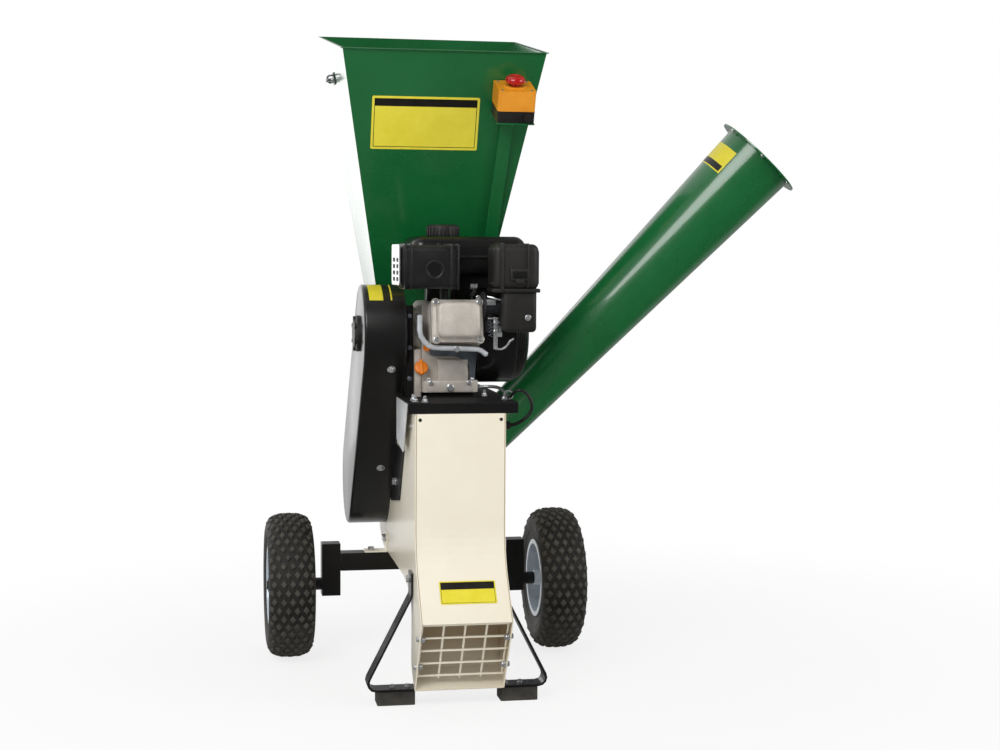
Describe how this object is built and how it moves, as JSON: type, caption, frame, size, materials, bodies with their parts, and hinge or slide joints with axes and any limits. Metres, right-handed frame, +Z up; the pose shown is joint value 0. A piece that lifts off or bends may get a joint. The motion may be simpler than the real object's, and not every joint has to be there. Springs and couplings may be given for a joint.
{
  "type": "petrol garden shredder",
  "caption": "Petrol garden shredder: belt-driven drum housing with top hopper, side branch chute, grilled front outlet, deck engine, pneumatic wheels and front stand.",
  "frame": {"origin": "middle of the object's box, on the floor", "axes": "+Z up, -Y towards the outlet, +X towards the branch chute"},
  "size_m": [1.1484, 0.786, 1.4106],
  "materials": {
    "cream_paint": "satin powder coat",
    "black_paint": "satin powder coat",
    "green_paint": "gloss powder coat",
    "grey_steel": "zinc plate",
    "zinc": "bright zinc",
    "rotor_steel": "machined",
    "iron": "as cast",
    "cast_aluminium": "as cast",
    "black_muffler": "black heat paint",
    "black_plastic": "moulded",
    "yellow_plastic": "moulded",
    "red_plastic": "moulded",
    "orange_plastic": "moulded",
    "black_rubber": "moulded",
    "tyre": "block tread",
    "rim_paint": "pale zinc"
  },
  "bodies": {
    "frame": {"side_plate_left": "cream_paint", "side_plate_right": "cream_paint", "front_panel": "cream_paint", "duct_floor": "cream_paint", "drum_wrap": "cream_paint", "outlet_grille": "cream_paint", "saddle_brackets": "cream_paint", "engine_deck": "black_paint", "axle_beam": "black_paint", "spindles": "black_paint", "drop_brackets": "black_paint", "stand": "black_paint", "belt_guard": "black_paint", "guard_backplate": "black_paint", "fan_cover": "black_paint", "recoil_cover": "black_paint", "hopper": "green_paint", "estop_bracket": "green_paint", "cable_channel": "green_paint", "chute": "green_paint", "chute_flange": "green_paint", "deck_bracket": "grey_steel", "body_bolts": "zinc", "foot_bolts": "zinc", "chute_screws": "zinc", "engine_bolts": "zinc", "cylinder_shroud": "zinc", "muffler_guard": "zinc", "carburettor": "iron", "rotor_bearings": "iron", "crankcase": "cast_aluminium", "engine_cylinder": "cast_aluminium", "valve_cover": "cast_aluminium", "muffler": "black_muffler", "fuel_tank": "black_plastic", "air_cleaner": "black_plastic", "guard_cap": "black_plastic", "estop_base": "black_plastic", "estop_cover": "yellow_plastic", "foot_left": "black_rubber", "foot_right": "black_rubber", "v_belt": "black_rubber", "kill_cable": "black_rubber"},
    "wheel_left": {"tyre_left": "tyre", "rim_left": "rim_paint"},
    "wheel_right": {"tyre_right": "tyre", "rim_right": "rim_paint"},
    "rotor": {"rotor_shaft": "rotor_steel", "rotor_drum": "rotor_steel", "driven_pulley": "iron"},
    "crank": {"crankshaft": "rotor_steel", "drive_pulley": "iron", "flywheel": "iron"},
    "stop_button": {"estop_button": "red_plastic"},
    "fuel_cap": {"fuel_cap": "black_plastic"},
    "oil_cap": {"oil_cap": "orange_plastic"},
    "throttle": {"throttle_lever": "zinc"},
    "choke": {"choke_lever": "zinc"},
    "starter": {"starter_handle": "black_plastic"}
  },
  "joints": [
    {"name": "wheel_left_spin", "type": "hinge", "parent": "frame", "child": "wheel_left", "pos_m": [-0.52224, 0.187, 0.1625], "axis": [1, 0, 0], "continuous": true},
    {"name": "wheel_right_spin", "type": "hinge", "parent": "frame", "child": "wheel_right", "pos_m": [0.08776, 0.187, 0.1625], "axis": [1, 0, 0], "continuous": true},
    {"name": "rotor_spin", "type": "hinge", "parent": "frame", "child": "rotor", "pos_m": [-0.20824, 0.227, 0.4], "axis": [1, 0, 0], "continuous": true},
    {"name": "crank_spin", "type": "hinge", "parent": "frame", "child": "crank", "pos_m": [-0.20824, -0.068, 0.742], "axis": [1, 0, 0], "continuous": true},
    {"name": "stop_press", "type": "slide", "parent": "frame", "child": "stop_button", "axis": [0, 0.3729, -0.9279], "range_m": [0, 0.005]},
    {"name": "fuel_cap_turn", "type": "hinge", "parent": "frame", "child": "fuel_cap", "pos_m": [-0.20824, -0.044, 0.962], "axis": [0, 0, 1], "range_deg": [0, 90]},
    {"name": "oil_cap_turn", "type": "hinge", "parent": "frame", "child": "oil_cap", "pos_m": [-0.26924, -0.146, 0.67], "axis": [0, -0.9063, 0.4226], "range_deg": [0, 180]},
    {"name": "throttle_swing", "type": "hinge", "parent": "frame", "child": "throttle", "pos_m": [-0.16024, -0.128, 0.822], "axis": [1, 0, 0], "range_deg": [-18, 0]},
    {"name": "choke_swing", "type": "hinge", "parent": "frame", "child": "choke", "pos_m": [-0.12024, -0.204, 0.768], "axis": [1, 0, 0], "range_deg": [-30, 25]},
    {"name": "starter_pull", "type": "slide", "parent": "frame", "child": "starter", "axis": [0.621, 0.3505, 0.7011], "range_m": [0, 0.6]}
  ],
  "couplings": [
    {"joint": "crank_spin", "follows": "rotor_spin", "ratio": 1.6667}
  ]
}
